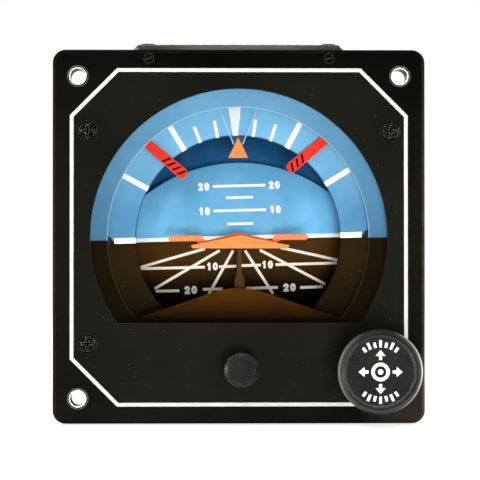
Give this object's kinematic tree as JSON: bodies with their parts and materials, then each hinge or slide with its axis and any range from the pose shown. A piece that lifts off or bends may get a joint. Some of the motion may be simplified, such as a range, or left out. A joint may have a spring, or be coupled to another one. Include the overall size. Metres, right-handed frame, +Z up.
{
  "type": "flight director indicator",
  "caption": "Square panel instrument: gyro driven attitude dial with bank ring, command bars, warning flags, adjust knob and pull knob, in a long case with rear connectors.",
  "frame": {"origin": "centre of the bezel's front face, which is the centre of the four mounting holes", "axes": "+Z up, +X right as the pilot sees it, +Y back into the panel"},
  "size_m": [0.086, 0.179, 0.0885],
  "materials": {
    "black_enamel": "semi-matt black enamel",
    "white_enamel": "white enamel line",
    "blackened_steel": "blackened steel screws",
    "bright_steel": "bright machined steel",
    "gasket_rubber": "black rubber",
    "window_glass": "coated flat glass",
    "sky_and_ground_paint": "matt sky blue over matt brown",
    "brown_paint": "matt brown",
    "clear_acrylic": "clear acrylic",
    "orange_paint": "matt fluorescent orange",
    "red_paint": "matt fluorescent red",
    "brass": "turned brass",
    "cast_aluminium": "machined aluminium",
    "connector_shell": "olive plated aluminium",
    "moulded_black": "moulded black plastic",
    "lamp_glass": "clear lamp glass",
    "phenolic": "brown phenolic",
    "circuit_board": "green laminate",
    "winding": "varnished copper on laminations"
  },
  "bodies": {
    "case": {"bezel": "black_enamel", "mounting_sleeves": "bright_steel", "bezel_outline": "white_enamel", "mask_plate": "black_enamel", "mask_screws": "blackened_steel", "window_gasket": "gasket_rubber", "window_glass": "window_glass", "surround": "sky_and_ground_paint", "frame_screws": "bright_steel", "lower_mask": "brown_paint", "index_carrier": "clear_acrylic", "roll_index": "orange_paint", "shaft_bushes": "brass", "slide_frame": "cast_aluminium", "guide_rods": "bright_steel", "case_shell": "black_enamel", "case_screws": "blackened_steel", "rear_cover": "black_enamel", "lamp_cover": "black_enamel", "lamp_bar": "cast_aluminium", "lamps": "lamp_glass", "signal_connector": "connector_shell", "power_connector": "connector_shell", "connector_pins": "brass", "connector_screws": "bright_steel", "bearing_bulkhead": "cast_aluminium", "roll_bearings": "bright_steel", "brush_block": "phenolic", "amplifier_board": "circuit_board", "board_pillars": "bright_steel", "flag_meters": "cast_aluminium", "command_meter": "cast_aluminium", "return_spring": "bright_steel"},
    "roll_gimbal": {"roll_yoke": "cast_aluminium", "roll_shaft": "bright_steel", "gimbal_screws": "blackened_steel", "slip_rings": "brass", "bank_ring": "sky_and_ground_paint", "pitch_bearings": "bright_steel"},
    "gyro": {"gyro_housing": "cast_aluminium", "housing_cap": "cast_aluminium", "pitch_pivots": "bright_steel", "rotor_bearings": "bright_steel", "erector": "winding", "stator": "winding", "ball_upper": "sky_and_ground_paint", "ball_lower": "sky_and_ground_paint", "pitch_dial": "sky_and_ground_paint"},
    "gyro_rotor": {"rotor": "brass"},
    "adjuster": {"adjust_knob": "moulded_black", "adjust_shaft": "bright_steel"},
    "airplane": {"airplane_symbol": "orange_paint"},
    "bar_lift": {"command_lift": "moulded_black"},
    "bars": {"command_bars": "orange_paint"},
    "crank": {"meter_crank": "bright_steel"},
    "left_warning_flag": {"left_flag": "red_paint"},
    "right_warning_flag": {"right_flag": "red_paint"},
    "erection_pull": {"pull_knob": "moulded_black", "pull_shaft": "bright_steel"},
    "erection_lever": {"cage_lever": "bright_steel"}
  },
  "joints": [
    {"name": "roll", "type": "hinge", "parent": "case", "child": "roll_gimbal", "pos_m": [0, 0.0505, 0], "axis": [0, 1, 0], "continuous": true},
    {"name": "pitch", "type": "hinge", "parent": "roll_gimbal", "child": "gyro", "pos_m": [0, 0.0505, 0], "axis": [0.9997, 0, 0.0262], "range_deg": [-85, 85]},
    {"name": "rotor_spin", "type": "hinge", "parent": "gyro", "child": "gyro_rotor", "pos_m": [0, 0.0505, 0], "axis": [-0.0262, 0, 0.9997], "continuous": true},
    {"name": "adjust_turn", "type": "hinge", "parent": "case", "child": "adjuster", "pos_m": [0.0004, 0, -0.0303], "axis": [0, 1, 0], "range_deg": [-40, 40]},
    {"name": "airplane_slide", "type": "slide", "parent": "case", "child": "airplane", "axis": [0, 0, 1], "range_m": [-0.0025, 0.0025]},
    {"name": "bar_pitch", "type": "slide", "parent": "case", "child": "bar_lift", "axis": [0, 0, 1], "range_m": [-0.0045, 0.0045], "stiffness_N_per_m": 60},
    {"name": "crank_turn", "type": "hinge", "parent": "case", "child": "crank", "pos_m": [-0.03, 0, -0.03], "axis": [0, -1, 0], "range_deg": [-32.5, 32.5]},
    {"name": "bar_roll", "type": "hinge", "parent": "bar_lift", "child": "bars", "pos_m": [0, 0, -0.0006], "axis": [0, 1, 0], "range_deg": [-18, 18], "stiffness_Nm_per_rad": 0.0001},
    {"name": "left_flag_swing", "type": "hinge", "parent": "case", "child": "left_warning_flag", "pos_m": [-0.02875, 0, 0.02845], "axis": [0, -1, 0], "range_deg": [0, 60], "stiffness_Nm_per_rad": 0.0002, "springref_deg": -5.73},
    {"name": "right_flag_swing", "type": "hinge", "parent": "case", "child": "right_warning_flag", "pos_m": [0.0284, 0, 0.02965], "axis": [0, 1, 0], "range_deg": [0, 60], "stiffness_Nm_per_rad": 0.0002, "springref_deg": -5.73},
    {"name": "erection_pull_out", "type": "slide", "parent": "case", "child": "erection_pull", "axis": [0, -1, 0], "range_m": [0, 0.0065], "stiffness_N_per_m": 300, "springref_m": -0.002},
    {"name": "erection_lever_turn", "type": "hinge", "parent": "case", "child": "erection_lever", "pos_m": [0.0153, 0.11515, 0], "axis": [0, 0, -1], "range_deg": [0, 23.5]}
  ],
  "couplings": [
    {"joint": "adjust_turn", "follows": "airplane_slide", "rad_per_m": 277.78},
    {"joint": "crank_turn", "follows": "bar_pitch", "rad_per_m": 125},
    {"joint": "erection_lever_turn", "follows": "erection_pull_out", "rad_per_m": 62.5}
  ]
}
